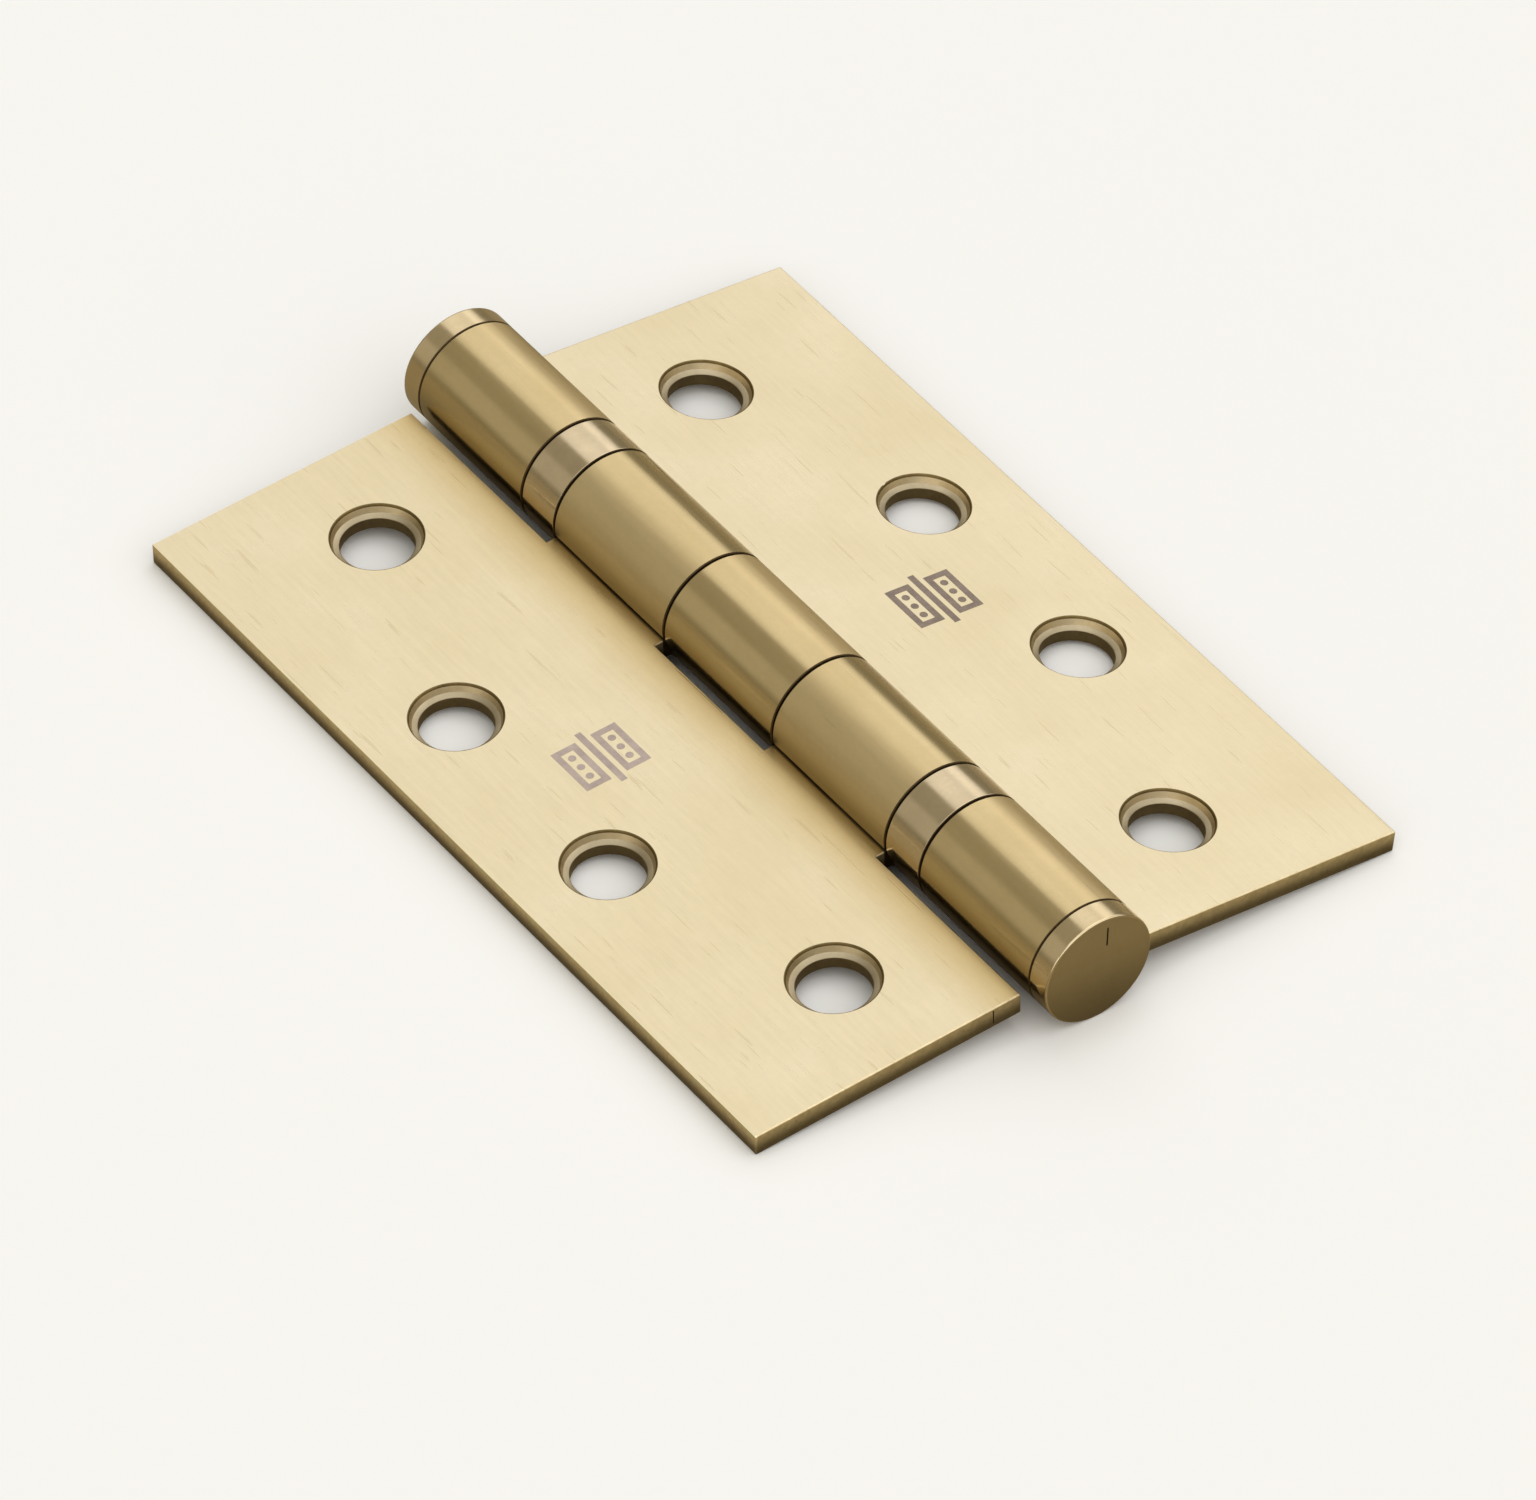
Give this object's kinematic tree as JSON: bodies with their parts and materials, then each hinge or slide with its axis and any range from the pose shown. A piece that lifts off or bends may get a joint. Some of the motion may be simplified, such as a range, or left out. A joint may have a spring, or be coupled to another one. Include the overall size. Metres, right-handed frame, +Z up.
{
  "type": "butt hinge",
  "caption": "Satin brass butt hinge for a door, lying open: flat leaves with countersunk screw holes, a rolled barrel with ball-bearing bands, and flat end caps.",
  "frame": {"origin": "on the pin's axis, half-way along the pin, which is also the middle of the part's box", "axes": "+Y along the pin towards the top cap, +X across towards the jamb leaf's outer edge, +Z up from the bench on the side of the screw seats, towards which the leaves close"},
  "size_m": [0.0764, 0.107, 0.0125],
  "materials": {
    "leaf_brass": "satin, brushed along the pin",
    "cap_brass": "satin, turned",
    "bearing_brass": "satin, a little paler than the knuckles",
    "pin_steel": "ground",
    "race_steel": "hardened and ground",
    "ball_steel": "polished",
    "cage_brass": "stamped"
  },
  "bodies": {
    "jamb": {"jamb_leaf": "leaf_brass", "hinge_pin": "pin_steel", "top_cap": "cap_brass", "top_bearing_shell": "bearing_brass", "top_race_jamb": "race_steel", "bottom_cap": "cap_brass", "bottom_bearing_shell": "bearing_brass", "bottom_race_jamb": "race_steel"},
    "door": {"door_leaf": "leaf_brass", "top_race_door": "race_steel", "bottom_race_door": "race_steel"},
    "top_balls": {"top_ball_cage": "cage_brass", "top_ball_01": "ball_steel", "top_ball_02": "ball_steel", "top_ball_03": "ball_steel", "top_ball_04": "ball_steel", "top_ball_05": "ball_steel", "top_ball_06": "ball_steel", "top_ball_07": "ball_steel", "top_ball_08": "ball_steel", "top_ball_09": "ball_steel", "top_ball_10": "ball_steel"},
    "bottom_balls": {"bottom_ball_cage": "cage_brass", "bottom_ball_01": "ball_steel", "bottom_ball_02": "ball_steel", "bottom_ball_03": "ball_steel", "bottom_ball_04": "ball_steel", "bottom_ball_05": "ball_steel", "bottom_ball_06": "ball_steel", "bottom_ball_07": "ball_steel", "bottom_ball_08": "ball_steel", "bottom_ball_09": "ball_steel", "bottom_ball_10": "ball_steel"}
  },
  "joints": [
    {"name": "leaf_swing", "type": "hinge", "parent": "jamb", "child": "door", "pos_m": [0, 0, 0], "axis": [0, 1, 0], "range_deg": [-110, 188.24]},
    {"name": "top_balls_roll", "type": "hinge", "parent": "jamb", "child": "top_balls", "pos_m": [0, 0.03035, 0], "axis": [0, 1, 0], "range_deg": [-55, 94.12]},
    {"name": "bottom_balls_roll", "type": "hinge", "parent": "jamb", "child": "bottom_balls", "pos_m": [0, -0.03035, 0], "axis": [0, 1, 0], "range_deg": [-55, 94.12]}
  ],
  "couplings": [
    {"joint": "top_balls_roll", "follows": "leaf_swing", "ratio": 0.5},
    {"joint": "bottom_balls_roll", "follows": "leaf_swing", "ratio": 0.5}
  ]
}
